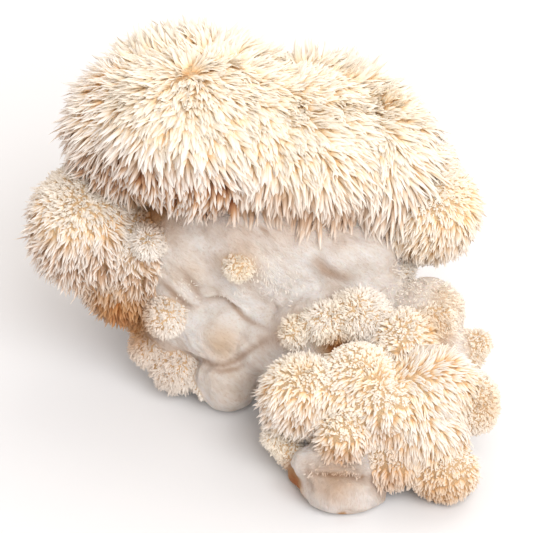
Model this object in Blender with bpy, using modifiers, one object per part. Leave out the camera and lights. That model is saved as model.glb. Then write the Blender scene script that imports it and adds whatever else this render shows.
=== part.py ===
"""Lion's mane mushroom: one fruiting body that grew as one piece and rests on its cut foot.

The body is a union of rounded lobes. A shaggy cap hangs over bare white flesh, a maned lobe sits at each
side, and a cluster of small pom-poms stands in front, low and to the right. Every spine of the solid is
a face of the body that is poked and drawn out to a tip, longest on the cap and short on the pom-poms.

Metres, +Z up. The front of the mushroom looks along -Y, and the origin is the middle of the box's bottom.
"""
import math

import bmesh
import bpy
from mathutils import Euler, Matrix, Vector
from mathutils.bvhtree import BVHTree
from mathutils.geometry import intersect_ray_tri

MM = 0.001

# Driving sizes, in millimetres
BODY_SHIFT = (5.2, -3.0, 0.0)   # moves the lobes so that the origin is the middle of the box's bottom
LOBE_SUBDIVISIONS = 4           # fineness of one lobe's ball before the lobes are fused
VOXEL = 1.6                     # grid that fuses the lobes into one skin
FINE_SMOOTHING = 10             # rounds of smoothing that fill the creases between lobes
SKIN_FACES = 4000               # triangles of the skin before its spines are drawn out
COARSE_SMOOTHING = 2            # rounds of smoothing that even out the triangles
SMOOTH_FACTOR = 0.5             # share of the way to its neighbours' middle that one round moves a point
SNAP_TO_FLOOR = 0.9             # skin points this near the floor lie on it
FLAT = 0.001                    # points this near a plane lie in it
FLOOR_CLEARANCE = 0.6           # a drooping tip stays this far above the floor

# How spines lie
DROOP = 0.42                    # weight of the downward pull against the skin's normal
FACES_DOWN = -0.99              # a face whose normal has this Z or less is the cut foot and bears no spine
SHORTEST_SPINE = 0.8            # mm, a spine that has less room than this stays flat
ROOM_START = 0.2                # mm above its own face where a spine starts to look for room
ROOM_SHARE = 0.4                # share of the way to the next surface that a spine may take
SHRINK = 0.8                    # a spine that meets another is shortened by this, round by round
SHRINK_ROUNDS = 40
CREASE_MARGIN = math.radians(8)   # angle kept between two spines that rise from one edge

# Lobes: name, centre, semi-axes (mm), turn about X, Y and Z (degrees), spine length (mm, 0 is bare flesh)
LOBES = [
    # the shaggy cap
    ("cap_left", (-53, 34, 97), (21, 28, 25), (0, 0, 0), 9),
    ("cap_front", (-27, 24, 105), (34, 36, 25), (0, 8, 0), 11),
    ("cap_bridge", (-5, 26, 100), (26, 34, 24), (0, 10, 0), 10),
    ("cap_middle", (15, 26, 96), (33, 35, 24), (0, 10, 0), 10),
    ("cap_right", (42, 30, 88), (22, 31, 23), (0, 10, 0), 9),
    ("cap_back", (-27, 45, 98.5), (41, 34, 27), (0, 5, 0), 9),
    ("cap_rear", (23, 44, 87), (36, 31, 27), (0, 10, 0), 9),
    # bare flesh under the cap
    ("flesh_middle", (2, 22, 60), (46, 34, 42), (0, 0, 0), 0),
    ("flesh_right", (27, 9, 57), (26, 21, 22), (0, 15, 0), 0),
    ("flesh_left", (-28, 14, 52), (24, 22, 28), (0, 0, 0), 0),
    ("flesh_lower", (-17, -2, 29), (20, 16, 15), (0, 0, 0), 0),
    ("flesh_lobe", (-15, -16, 12), (12.5, 12, 13.5), (0, 0, 0), 0),
    ("flesh_neck", (5, -10, 28), (18, 16, 16), (0, 0, 0), 0),
    ("flesh_foot", (0, 34, 18), (36, 30, 24), (0, 0, 0), 0),
    # the left lobe
    ("left_lobe", (-70, 16, 64.5), (20.5, 23, 22), (0, 0, 0), 9),
    ("left_top", (-71, 22, 71), (14, 15, 13), (0, 0, 0), 8),
    ("left_inner", (-50, 12, 56), (16, 18, 18), (0, 0, 0), 7),
    ("left_under", (-56, 10, 42), (16, 16, 14), (0, 0, 0), 6),
    # the back
    ("back_left", (-20, 50, 50), (38, 28, 42), (0, 0, 0), 9),
    ("back_right", (26, 44, 48), (34, 28, 38), (0, 0, 0), 9),
    # the right lobe
    ("right_lobe", (62.5, 18, 70.5), (19, 21, 19), (0, 0, 0), 7),
    ("right_top", (58, 27, 82), (16, 20, 13), (0, 0, 0), 7),
    ("right_tuft", (51, 8, 48), (7, 7, 6), (0, 0, 0), 3),
    # small tufts and the knobbly ridge at the lower left
    ("tuft_brow", (-45, -2, 69), (5.5, 6, 5.5), (0, 0, 0), 3.5),
    ("tuft_gold", (-11, -12, 64), (5, 5, 5), (0, 0, 0), 2.5),
    ("tuft_ball", (-39.5, -8, 37), (7.5, 7.5, 7.5), (0, 0, 0), 2.5),
    ("ridge_1", (-49, 4, 26), (6, 7, 8), (0, 0, 0), 2.5),
    ("ridge_2", (-46, -2, 17), (8, 8, 8), (0, 0, 0), 2.5),
    ("ridge_3", (-35.5, -9, 11), (9.5, 8.5, 8.5), (0, 0, 0), 2.5),
    ("ridge_root", (-38, 2, 22), (12, 10, 12), (0, 0, 0), 0),
    ("tuft_low", (-24.5, -17, 8.8), (4, 5, 4), (0, 0, 0), 2),
    # the lower cluster
    ("low_core", (38, -42, 24), (27, 23, 21), (0, 0, 0), 5),
    ("low_link", (25, -16, 35), (24, 20, 20), (0, 0, 0), 0),
    ("low_shoulder", (61.5, -16, 46.5), (14.5, 13, 13), (0, 0, 0), 0),
    ("low_patch", (63.5, -25.5, 49), (8, 5.5, 7.5), (0, 0, 0), 2.5),
    ("low_arm", (64, -28, 38), (14, 12, 10), (0, 0, 0), 0),
    ("low_bead", (80, -27, 40), (5.5, 5.5, 5.5), (0, 0, 0), 2),
    ("low_bead_2", (77, -31, 35), (5, 5, 5), (0, 0, 0), 2),
    ("low_crown", (35, -23, 50.5), (11, 10, 9.5), (0, 0, 0), 3),
    ("low_brow", (23, -27, 50), (9, 7.5, 7.5), (0, 0, 0), 3),
    ("low_bridge", (44, -8, 46), (16, 11, 10), (0, 0, 0), 0),
    ("low_knot", (10.5, -27, 45), (5.5, 6, 6), (0, 0, 0), 2.5),
    ("low_left", (13, -47, 32), (14.5, 13, 15.5), (0, 0, 0), 7),
    ("low_top", (34, -46, 42), (12.5, 11, 11), (0, 0, 0), 5),
    ("low_saddle", (24, -48, 35), (11, 11, 12), (0, 0, 0), 5),
    ("low_nose", (28.5, -64, 26), (9, 8.5, 8.5), (0, 0, 0), 5),
    ("low_puff", (52, -32, 43.5), (11.5, 12, 13.5), (0, 0, 0), 5),
    ("low_right", (61, -47, 34), (18, 15, 15), (0, 0, 0), 6),
    ("low_apron", (58, -58, 24), (16, 12, 14), (0, 0, 0), 7),
    ("low_velvet", (78.5, -50, 30), (8, 11, 12), (0, 0, 0), 2),
    ("low_front", (45, -57, 34), (10, 9, 10), (0, 0, 0), 5),
    ("low_corner", (66, -66, 10.5), (13, 11, 11), (0, 0, 0), 3.5),
    ("low_chin", (46, -66, 15), (10.5, 9, 8.5), (0, 0, 0), 5),
    ("low_collar", (26, -66, 14.5), (17, 11, 8), (0, 0, 0), 0),
    ("stub", (29, -71, 7), (16.5, 10.5, 9.5), (0, 0, 0), 0),
    ("low_root", (13, -61, 5), (5, 6, 5.5), (0, 0, 0), 0),
    ("low_bit_1", (4, -50, 14), (6, 6.5, 6), (0, 0, 0), 2.5),
    ("low_bit_2", (8.5, -54, 10), (6, 6, 6), (0, 0, 0), 2),
]

FLESH_COLOUR = (0.80, 0.70, 0.57, 1.0)    # linear, a warm cream white
FLESH_ROUGHNESS = 0.75


def lobe_matrix(lobe):
    """Turns the unit sphere into the lobe, in metres."""
    _, centre, semi_axes, turn, _ = lobe
    place = Matrix.Translation((Vector(centre) + Vector(BODY_SHIFT)) * MM)
    spin = Euler([math.radians(angle) for angle in turn]).to_matrix().to_4x4()
    size = Matrix.Diagonal([semi_axis * MM for semi_axis in semi_axes] + [1.0])
    return place @ spin @ size


def flesh_material():
    """The cream-white flesh, which is matt like damp suede."""
    material = bpy.data.materials.new("mushroom_flesh")
    material.use_nodes = True
    shader = material.node_tree.nodes["Principled BSDF"]
    shader.inputs["Base Color"].default_value = FLESH_COLOUR
    shader.inputs["Roughness"].default_value = FLESH_ROUGHNESS
    shader.inputs["Metallic"].default_value = 0.0
    return material


def evaluated_mesh(thing):
    """The object's mesh with its modifiers applied."""
    depsgraph = bpy.context.evaluated_depsgraph_get()
    return bpy.data.meshes.new_from_object(thing.evaluated_get(depsgraph))


def fused_skin(body):
    """Fuses the lobes into one closed skin of about SKIN_FACES even triangles."""
    bm = bmesh.new()
    for lobe in LOBES:
        bmesh.ops.create_icosphere(bm, subdivisions=LOBE_SUBDIVISIONS, radius=1.0, matrix=lobe_matrix(lobe))
    bm.to_mesh(body.data)
    bm.free()

    remesh = body.modifiers.new("fuse", "REMESH")
    remesh.mode = "VOXEL"
    remesh.voxel_size = VOXEL * MM
    smooth = body.modifiers.new("creases", "SMOOTH")
    smooth.factor = SMOOTH_FACTOR
    smooth.iterations = FINE_SMOOTHING
    triangles = body.modifiers.new("triangles", "TRIANGULATE")
    triangles.min_vertices = 4
    fine_faces = len(evaluated_mesh(body).polygons)
    decimate = body.modifiers.new("coarse", "DECIMATE")
    decimate.ratio = SKIN_FACES / fine_faces
    even = body.modifiers.new("even", "SMOOTH")
    even.factor = SMOOTH_FACTOR
    even.iterations = COARSE_SMOOTHING
    body.data = evaluated_mesh(body)
    body.modifiers.clear()


def drop_sealed_pockets(bm):
    """Removes the small closed pockets that the lobes enclose, so that only the outer skin is left."""
    pieces = []
    seen = set()
    for start in bm.verts:
        if start in seen:
            continue
        piece = [start]
        seen.add(start)
        for vert in piece:
            for edge in vert.link_edges:
                other = edge.other_vert(vert)
                if other not in seen:
                    seen.add(other)
                    piece.append(other)
        pieces.append(piece)
    outer = max(pieces, key=len)
    pockets = [vert for piece in pieces if piece is not outer for vert in piece]
    bmesh.ops.delete(bm, geom=pockets, context="VERTS")


def cut_at_floor(bm):
    """Cuts the skin off flat at the floor and closes each cut with a flat face."""
    for vert in bm.verts:
        if abs(vert.co.z) < SNAP_TO_FLOOR * MM:
            vert.co.z = 0.0
    geometry = bm.verts[:] + bm.edges[:] + bm.faces[:]
    bmesh.ops.bisect_plane(bm, geom=geometry, dist=FLAT * MM, plane_co=(0, 0, 0), plane_no=(0, 0, 1),
                           clear_inner=True)
    flat = [face for face in bm.faces if all(abs(vert.co.z) < FLAT * MM for vert in face.verts)]
    bmesh.ops.delete(bm, geom=flat, context="FACES")
    rim = [edge for edge in bm.edges if edge.is_boundary]
    bmesh.ops.holes_fill(bm, edges=rim, sides=0)
    loose = [edge for edge in bm.edges if not edge.link_faces]
    bmesh.ops.delete(bm, geom=loose, context="EDGES")
    loose = [vert for vert in bm.verts if not vert.link_faces]
    bmesh.ops.delete(bm, geom=loose, context="VERTS")
    bmesh.ops.triangulate(bm, faces=bm.faces[:])
    bmesh.ops.recalc_face_normals(bm, faces=bm.faces[:])


def spine_length(point, lobes):
    """Spine length of the lobe whose surface is nearest to the point, in metres."""
    best_gap = math.inf
    best_length = 0.0
    for to_unit, mean_radius, length in lobes:
        gap = ((to_unit @ point).length - 1.0) * mean_radius
        if gap < best_gap:
            best_gap = gap
            best_length = length
    return best_length


def edge_angle(edge, near, far):
    """Angle about the edge from the direction of one point to that of another."""
    along = (edge.verts[1].co - edge.verts[0].co).normalized()
    start = edge.verts[0].co
    first = (near - start) - along * (near - start).dot(along)
    second = (far - start) - along * (far - start).dot(along)
    return first.angle(second, 0.0)


class Spine:
    """One face of the skin that is drawn out to a tip."""

    def __init__(self, face, length, direction):
        self.face = face
        self.root = face.calc_center_median()
        self.length = length
        self.direction = direction

    def tip(self):
        point = self.root + self.direction * self.length
        point.z = max(point.z, min(FLOOR_CLEARANCE * MM, self.root.z))
        return point


def planned_spines(bm):
    """A spine for each maned face, as long as its lobe says and the room before it allows."""
    lobes = []
    for lobe in LOBES:
        mean_radius = sum(lobe[2]) / 3 * MM
        lobes.append((lobe_matrix(lobe).inverted(), mean_radius, lobe[4] * MM))
    skin = BVHTree.FromBMesh(bm)
    spines = {}
    for face in bm.faces:
        centre = face.calc_center_median()
        length = spine_length(centre, lobes)
        if length == 0.0 or face.normal.z <= FACES_DOWN:
            continue
        direction = (face.normal - Vector((0, 0, DROOP))).normalized()
        hit = skin.ray_cast(centre + direction * ROOM_START * MM, direction)
        if hit[0] is not None:
            length = min(length, ROOM_SHARE * hit[3])
        if length >= SHORTEST_SPINE * MM:
            spines[face.index] = Spine(face, length, direction)
    return spines


def shorten_in_creases(bm, spines):
    """Shortens two spines that rise from one edge until they stand clear of each other."""
    for _ in range(SHRINK_ROUNDS):
        crossed = set()
        for edge in bm.edges:
            one, other = edge.link_faces
            if one.index not in spines and other.index not in spines:
                continue
            outside = math.pi + edge.calc_face_angle_signed(0.0)
            taken = CREASE_MARGIN
            for face in (one, other):
                if face.index in spines:
                    spine = spines[face.index]
                    taken += edge_angle(edge, spine.root, spine.tip())
            if taken > outside:
                crossed.update(face.index for face in (one, other) if face.index in spines)
        if not crossed:
            return
        for index in crossed:
            spines[index].length *= SHRINK


def edge_crosses(start, end, triangle):
    """True where the straight edge passes through the triangle."""
    ray = end - start
    hit = intersect_ray_tri(*triangle, ray, start, True)
    if hit is None:
        return False
    return 0.0 <= (hit - start).dot(ray) <= ray.length_squared


def meeting_spines(sides):
    """Faces whose spine sides cut through another side, from triples of corner keys and points."""
    tree_points = [point for _, points, _ in sides for point in points]
    tree_faces = [(3 * i, 3 * i + 1, 3 * i + 2) for i in range(len(sides))]
    tree = BVHTree.FromPolygons(tree_points, tree_faces, all_triangles=True)
    met = set()
    for first, second in tree.overlap(tree):
        if first >= second:
            continue
        keys_a, points_a, owner_a = sides[first]
        keys_b, points_b, owner_b = sides[second]
        shared = set(keys_a) & set(keys_b)
        if len(shared) >= 2:
            continue
        touching = not shared
        if shared:
            free_a = [point for key, point in zip(keys_a, points_a) if key not in shared]
            free_b = [point for key, point in zip(keys_b, points_b) if key not in shared]
            touching = edge_crosses(*free_a, points_b) or edge_crosses(*free_b, points_a)
        if touching:
            met.update((owner_a, owner_b))
    return met


def shorten_where_tips_meet(bm, spines):
    """Shortens spines until no side of one cuts through another or through the skin."""
    for _ in range(SHRINK_ROUNDS):
        sides = []
        for face in bm.faces:
            corners = [(vert.index, vert.co) for vert in face.verts]
            if face.index not in spines:
                sides.append(([key for key, _ in corners], [point for _, point in corners], face.index))
                continue
            tip = (-1 - face.index, spines[face.index].tip())
            for i in range(3):
                side = (corners[i], corners[(i + 1) % 3], tip)
                sides.append(([key for key, _ in side], [point for _, point in side], face.index))
        met = [index for index in meeting_spines(sides) if index in spines]
        if not met:
            return
        for index in met:
            spines[index].length *= SHRINK
            if spines[index].length < SHORTEST_SPINE * MM:
                del spines[index]


def draw_out_spines(bm):
    """Pokes each maned face and moves the new point out to the spine's tip."""
    bm.verts.index_update()
    bm.faces.index_update()
    spines = planned_spines(bm)
    shorten_in_creases(bm, spines)
    shorten_where_tips_meet(bm, spines)
    for spine in list(spines.values()):
        tip = spine.tip()
        poked = bmesh.ops.poke(bm, faces=[spine.face])
        poked["verts"][0].co = tip


def build_fruiting_body(collection):
    """Makes the whole mushroom as one closed solid."""
    body = bpy.data.objects.new("fruiting_body", bpy.data.meshes.new("fruiting_body"))
    collection.objects.link(body)
    fused_skin(body)
    bm = bmesh.new()
    bm.from_mesh(body.data)
    drop_sealed_pockets(bm)
    cut_at_floor(bm)
    draw_out_spines(bm)
    bm.to_mesh(body.data)
    bm.free()
    body.data.materials.clear()
    body.data.materials.append(flesh_material())
    return body


def main():
    for thing in list(bpy.data.objects):
        bpy.data.objects.remove(thing, do_unlink=True)
    collection = bpy.data.collections.new("lions_mane_mushroom")
    bpy.context.scene.collection.children.link(collection)
    build_fruiting_body(collection)


main()
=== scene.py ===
"""The looks of the lion's mane mushroom, made around its solid.

The flesh is one skin fused from the same lobes as the solid and sculpted with the folds of the bare front.
Each group of lobes carries one piece of joined spines: long flat blades that hang from the cap and the
sides, shorter ones on the pom-poms, and stubby ones on the small tufts. A few bristles stand on the bare
flesh. Lengths are millimetres until they are multiplied by MM.
"""
import math
from collections import namedtuple

import bmesh
import bpy
import numpy as np
from mathutils import Euler, Matrix, Vector, noise
from mathutils.kdtree import KDTree


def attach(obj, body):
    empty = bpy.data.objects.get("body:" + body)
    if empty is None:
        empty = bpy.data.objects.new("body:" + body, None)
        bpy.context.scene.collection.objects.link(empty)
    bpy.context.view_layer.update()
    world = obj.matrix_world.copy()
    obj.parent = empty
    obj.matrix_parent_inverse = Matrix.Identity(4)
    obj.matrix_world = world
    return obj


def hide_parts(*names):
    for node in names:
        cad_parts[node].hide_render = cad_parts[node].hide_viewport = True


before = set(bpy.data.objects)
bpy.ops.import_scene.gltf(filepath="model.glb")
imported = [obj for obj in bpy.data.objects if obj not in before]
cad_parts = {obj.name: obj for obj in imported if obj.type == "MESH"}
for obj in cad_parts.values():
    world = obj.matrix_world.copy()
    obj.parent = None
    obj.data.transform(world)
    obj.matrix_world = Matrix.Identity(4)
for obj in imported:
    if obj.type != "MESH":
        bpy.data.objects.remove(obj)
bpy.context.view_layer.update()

MM = 0.001
SEED = 20

# The solid is moved by this (mm). All the places in the tables below are from before that.
BODY_SHIFT = (5.2, -3.0, 0.0)

# How each kind of spine looks:
#   spacing   distance between the roots (mm)
#   share     length as a share of the lobe's spine length
#   top       that length's share on skin that faces up, where the spine is narrower too
#   hem       what skin that faces down adds to the length
#   width     at the root (mm)
#   flat      thickness as a share of the width
#   lean      away from the skin's normal (degrees)
#   rings     places of the corners along one spine, as shares of its length
#   blunt     how far the width lasts along the spine
#   tuft      distance between the tufts (mm)
#   shared    share of its tuft's direction that a spine takes
#   fork      how far the tips of a tuft spread (degrees)
#    deep_shade painted shade, how dark the roots are on skin that faces forward or down
#   warm      how warm the colour is
#   root      how pale the root is
#   crown     the kind that takes over on skin that faces up
SLENDER = (0, 0.4, 0.78)
STUBBY = (0, 0.5, 0.85)
STYLES = {
    "cap": dict(spacing=1.15, share=1.1, top=1.0, hem=0.15, width=2.7, flat=0.3, lean=72,
                rings=SLENDER, blunt=2.0, tuft=3.0, shared=0.55, fork=12,
                deep_shade=1.0, warm=0.0, root=0.0, crown="wisp"),
    "mop": dict(spacing=0.95, share=1.15, top=0.7, hem=0.25, width=2.3, flat=0.3, lean=76,
                rings=SLENDER, blunt=1.9, tuft=2.8, shared=0.6, fork=10,
                deep_shade=0.6, warm=0.1, root=0.0, crown="wisp"),
    "wisp": dict(spacing=0.75, share=0.8, top=0.9, hem=0.0, width=2.3, flat=0.22, lean=78,
                 rings=SLENDER, blunt=2.0, tuft=3.0, shared=0.6, fork=13,
                 deep_shade=0.0, warm=0.5, root=0.15, crown=None),
    "back": dict(spacing=1.3, share=1.25, top=0.95, hem=0.2, width=2.9, flat=0.32, lean=73,
                 rings=SLENDER, blunt=1.9, tuft=3.4, shared=0.6, fork=12,
                 deep_shade=0.7, warm=0.05, root=0.0, crown="shag"),
    "shag": dict(spacing=0.9, share=1.3, top=0.95, hem=0.0, width=2.4, flat=0.2, lean=68,
                 rings=SLENDER, blunt=2.1, tuft=3.6, shared=0.6, fork=16,
                 deep_shade=0.0, warm=0.45, root=0.15, crown=None),
    "side": dict(spacing=0.85, share=0.95, top=0.5, hem=0.25, width=1.65, flat=0.4, lean=60,
                 rings=SLENDER, blunt=1.9, tuft=2.4, shared=0.55, fork=18,
                 deep_shade=0.7, warm=0.0, root=0.0, crown="nub"),
    "curl": dict(spacing=1.0, share=1.1, top=0.7, hem=0.2, width=1.8, flat=0.45, lean=62,
                 rings=SLENDER, blunt=1.8, tuft=2.4, shared=0.55, fork=14,
                 deep_shade=0.9, warm=0.0, root=0.0, crown=None),
    "fine": dict(spacing=0.8, share=0.95, top=0.5, hem=0.0, width=1.6, flat=0.4, lean=68,
                 rings=SLENDER, blunt=1.8, tuft=2.4, shared=0.6, fork=12,
                 deep_shade=0.4, warm=0.2, root=0.0, crown="nub"),
    "pom": dict(spacing=0.85, share=0.95, top=0.7, hem=0.0, width=1.8, flat=0.4, lean=64,
                rings=SLENDER, blunt=1.8, tuft=2.4, shared=0.6, fork=14,
                deep_shade=0.4, warm=0.05, root=0.0, crown="nub"),
    "fan": dict(spacing=0.8, share=1.1, top=0.85, hem=0.0, width=1.7, flat=0.35, lean=72,
                rings=SLENDER, blunt=1.8, tuft=2.4, shared=0.65, fork=9,
                deep_shade=0.35, warm=0.0, root=0.0, crown=None),
    "nub": dict(spacing=0.6, share=0.42, top=0.95, hem=0.0, width=1.5, flat=0.6, lean=42,
                rings=STUBBY, blunt=2.2, tuft=1.9, shared=0.4, fork=22,
                deep_shade=0.0, warm=0.3, root=0.3, crown=None),
    "coral": dict(spacing=0.46, share=1.0, top=0.95, hem=0.0, width=1.05, flat=0.6, lean=38,
                  rings=STUBBY, blunt=2.1, tuft=1.35, shared=0.3, fork=28,
                  deep_shade=0.0, warm=0.05, root=0.48, crown=None),
    "frost": dict(spacing=0.42, share=1.0, top=0.95, hem=0.1, width=0.95, flat=0.6, lean=50,
                  rings=STUBBY, blunt=2.0, tuft=1.2, shared=0.3, fork=30,
                  deep_shade=0.15, warm=0.0, root=0.55, crown=None),
    "fluff": dict(spacing=0.65, share=1.0, top=1.0, hem=0.0, width=0.6, flat=0.5, lean=72,
                  rings=SLENDER, blunt=2.0, tuft=1.8, shared=0.5, fork=20,
                  deep_shade=0.0, warm=0.0, root=0.4, crown=None),
}

# How all spines grow
TRIES = 4                      # points tried for each root that the spacing has room for
LEAST_TRIES = 8                # and on top of that
SIDES = 3                      # sides of one spine, with a ridge on top
# painted shade: a spine's edges lie in the gaps between spines, so they take the darker colour from nearer
# the root
SHADED_EDGE_SHARE = 0.75              # a spine's edges take the colour of this share of their way along it
TAPER = 0.7                    # power with which a spine narrows at its tip
TONES = (0.92, 1.03)           # brightness of the darkest and the brightest spine
STRAY_SHARE = 0.12             # share of the spines that stand up from the others
STRAY_LIFT = 0.4               # how far they stand up, as a share of their length
CROWN_FACING = (0.4, 0.85)     # upward part of the normal: where the crown's kind starts, where it is alone
SHORT_FACING = (-0.95, -0.1)   # downward part of the normal: where "top" holds, where it has worn off
HEM_FACING = (0.0, 0.7)        # downward part of the normal: where "hem" starts, where it is full
# painted shade: where the darker colours of spines on skin that faces forward or down start, and where they
# are full
PAINTED_SHADE_FACING = (-0.6, 0.1)      # downward part of the normal: where "deep" starts, where it is full
LEAST_PULL = 0.06              # pull along the skin that even a level place has
LEAN_RISE = 0.4                # power with which the lean grows where the skin is steeper
ROOT_LEAN = 0.82               # share of the kind's lean that a spine has near its root
TIP_LEAN = 1.15                # and towards its tip
TUFT_FORK = 0.6                # share of the kind's fork that turns a tuft near its roots
OWN_FORK = 0.35                # and that turns each of its spines there
TWIST = 0.3                    # how unevenly the spines are turned about their length
BEND = 0.45                    # share of a spine's length between its root and its bend
BEND_GATHER = 0.15             # share of the way to its tuft's bend that a spine's bend is moved
ROOT_GATHER = 0.2              # share of the way to its tuft's middle that a root is moved
ROOT_DEPTH = 0.3               # mm, how deep a root sits in the flesh
LENGTHS = (0.6, 1.1)           # spread of the lengths inside a tuft
TUFT_LENGTHS = (0.8, 1.15)     # spread of the tufts' lengths
TUFT_SIZES = (0.6, 1.2)        # spread of the tufts' sizes
WIDTHS = (0.7, 1.25)           # spread of the widths
LOWEST_ROOT = 0.5              # mm above the floor
FLOOR_GAP = 0.3                # mm, how far the spines stay off the floor
DRIFT_SCALE = 13               # mm, size of the swirls in which spines lie
DRIFT = 0.65                   # strength of the swirls beside the pull downwards
PATCH_SCALE = 8                # mm, size of the patches that lie higher or lower than their neighbours
PATCH_LIFT = 0.18              # how much higher or lower they lie, as a share of the lean
LENGTH_SCALE = 11.2            # mm, size of the patches with longer or shorter spines
PATCH_LENGTH = 0.15            # how much longer or shorter they are
TEXTURE_MARGIN = 0.1           # edge of a spine's cell in the texture that stays empty

# Starts for the noise, so that no two uses of it give the same waves
SWIRL_STARTS = (11.3, 27.9, 43.1)
PATCH_START = 61.7
LENGTH_START = 83.3
RIB_START = 2.3

# Lobes: name, centre, semi-axes (mm), turn about Y (degrees), and for those that aren't bare flesh the length
# (mm) and kind of their spines, and the piece that these go in
Lobe = namedtuple("Lobe", "name centre semi_axes turn spine_length style piece", defaults=(0, None, None))
LOBES = [Lobe(*values) for values in (
    # the shaggy cap
    ("cap_left", (-53, 34, 97), (21, 28, 25), 0, 11, "curl", "mane_cap_left"),
    ("cap_front", (-27, 24, 105), (34, 36, 25), 8, 11, "cap", "mane_cap_front"),
    ("cap_bridge", (-5, 26, 100), (26, 34, 24), 10, 10, "mop", "mane_cap_middle"),
    ("cap_middle", (15, 26, 96), (33, 35, 24), 10, 10, "mop", "mane_cap_middle"),
    ("cap_right", (42, 30, 88), (22, 31, 23), 10, 12, "mop", "mane_cap_right"),
    ("cap_back", (-27, 45, 98.5), (41, 34, 27), 5, 9, "back", "mane_cap_back"),
    ("cap_rear", (23, 44, 87), (36, 31, 27), 10, 9, "back", "mane_cap_rear"),
    # bare flesh under the cap
    ("flesh_middle", (2, 22, 60), (46, 34, 42), 0),
    ("flesh_right", (27, 9, 57), (26, 21, 22), 15),
    ("flesh_left", (-28, 14, 52), (24, 22, 28), 0),
    ("flesh_lower", (-17, -2, 29), (20, 16, 15), 0),
    ("flesh_lobe", (-15, -16, 12), (12.5, 12, 13.5), 0),
    ("flesh_neck", (5, -10, 28), (18, 16, 16), 0),
    ("flesh_foot", (0, 34, 18), (36, 30, 24), 0),
    # the left lobe
    ("left_lobe", (-70, 16, 64.5), (20.5, 23, 22), 0, 9, "side", "mane_left_side"),
    ("left_top", (-71, 22, 71), (14, 15, 13), 0, 8, "side", "mane_left_side"),
    ("left_inner", (-50, 12, 56), (16, 18, 18), 0, 7, "side", "mane_left_side"),
    ("left_under", (-56, 10, 42), (16, 16, 14), 0, 6, "side", "mane_left_side"),
    # the back
    ("back_left", (-20, 50, 50), (38, 28, 42), 0, 9, "back", "mane_back_left"),
    ("back_right", (26, 44, 48), (34, 28, 38), 0, 9, "back", "mane_back_right"),
    # the right lobe
    ("right_lobe", (62.5, 18, 70.5), (19, 21, 19), 0, 7, "fine", "mane_right_side"),
    ("right_top", (58, 27, 82), (16, 20, 13), 0, 7, "fine", "mane_right_side"),
    ("right_tuft", (51, 8, 48), (7, 7, 6), 0, 3, "coral", "mane_right_side"),
    # small tufts and the knobbly ridge at the lower left
    ("tuft_brow", (-45, -2, 69), (5.5, 6, 5.5), 0, 3.5, "coral", "tufts_on_flesh"),
    ("tuft_gold", (-11, -12, 64), (5, 5, 5), 0, 2.5, "coral", "tufts_on_flesh"),
    ("tuft_ball", (-39.5, -8, 37), (7.5, 7.5, 7.5), 0, 2.5, "coral", "tufts_on_flesh"),
    ("ridge_1", (-49, 4, 26), (6, 7, 8), 0, 3, "frost", "ridge_bristles"),
    ("ridge_2", (-46, -2, 17), (8, 8, 8), 0, 3, "frost", "ridge_bristles"),
    ("ridge_3", (-35.5, -9, 11), (9.5, 8.5, 8.5), 0, 3, "frost", "ridge_bristles"),
    ("ridge_root", (-38, 2, 22), (12, 10, 12), 0),
    ("tuft_low", (-24.5, -17, 8.8), (4, 5, 4), 0, 2, "coral", "ridge_bristles"),
    # the lower cluster
    ("low_core", (38, -42, 24), (27, 23, 21), 0, 5, "pom", "pompoms_middle"),
    ("low_link", (25, -16, 35), (24, 20, 20), 0),
    ("low_shoulder", (61.5, -16, 46.5), (14.5, 13, 13), 0),
    ("low_patch", (63.5, -25.5, 49), (8, 5.5, 7.5), 0, 2.5, "coral", "pompoms_shoulder"),
    ("low_arm", (64, -28, 38), (14, 12, 10), 0),
    ("low_bead", (80, -27, 40), (5.5, 5.5, 5.5), 0, 2, "coral", "pompoms_shoulder"),
    ("low_bead_2", (77, -31, 35), (5, 5, 5), 0, 2, "coral", "pompoms_shoulder"),
    ("low_crown", (35, -23, 50.5), (11, 10, 9.5), 0, 3, "coral", "pompoms_middle"),
    ("low_brow", (23, -27, 50), (9, 7.5, 7.5), 0, 3, "coral", "pompoms_middle"),
    ("low_bridge", (44, -8, 46), (16, 11, 10), 0),
    ("low_knot", (10.5, -27, 45), (5.5, 6, 6), 0, 2.5, "coral", "pompoms_middle"),
    ("low_left", (13, -47, 32), (14.5, 13, 15.5), 0, 7, "pom", "pompoms_left"),
    ("low_top", (34, -46, 42), (12.5, 11, 11), 0, 5, "pom", "pompoms_middle"),
    ("low_saddle", (24, -48, 35), (11, 11, 12), 0, 5, "pom", "pompoms_middle"),
    ("low_nose", (28.5, -64, 26), (9, 8.5, 8.5), 0, 5, "pom", "pompoms_left"),
    ("low_puff", (52, -32, 43.5), (11.5, 12, 13.5), 0, 5, "pom", "pompoms_shoulder"),
    ("low_right", (61, -47, 34), (18, 15, 15), 0, 6, "fan", "pompoms_right"),
    ("low_apron", (58, -58, 24), (16, 12, 14), 0, 6, "fan", "pompoms_right"),
    ("low_velvet", (78.5, -50, 30), (8, 11, 12), 0, 2, "coral", "pompoms_right"),
    ("low_front", (45, -57, 34), (10, 9, 10), 0, 5, "pom", "pompoms_right"),
    ("low_corner", (66, -66, 10.5), (13, 11, 11), 0, 3.5, "pom", "pompoms_bottom"),
    ("low_chin", (46, -66, 15), (10.5, 9, 8.5), 0, 5, "pom", "pompoms_bottom"),
    ("low_collar", (26, -66, 14.5), (17, 11, 8), 0),
    ("stub", (29, -71, 7), (16.5, 10.5, 9.5), 0),
    ("low_root", (13, -61, 5), (5, 6, 5.5), 0),
    ("low_bit_1", (4, -50, 14), (6, 6.5, 6), 0, 2.5, "coral", "pompoms_left"),
    ("low_bit_2", (8.5, -54, 10), (6, 6, 6), 0, 2, "coral", "pompoms_left"),
)]

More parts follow.
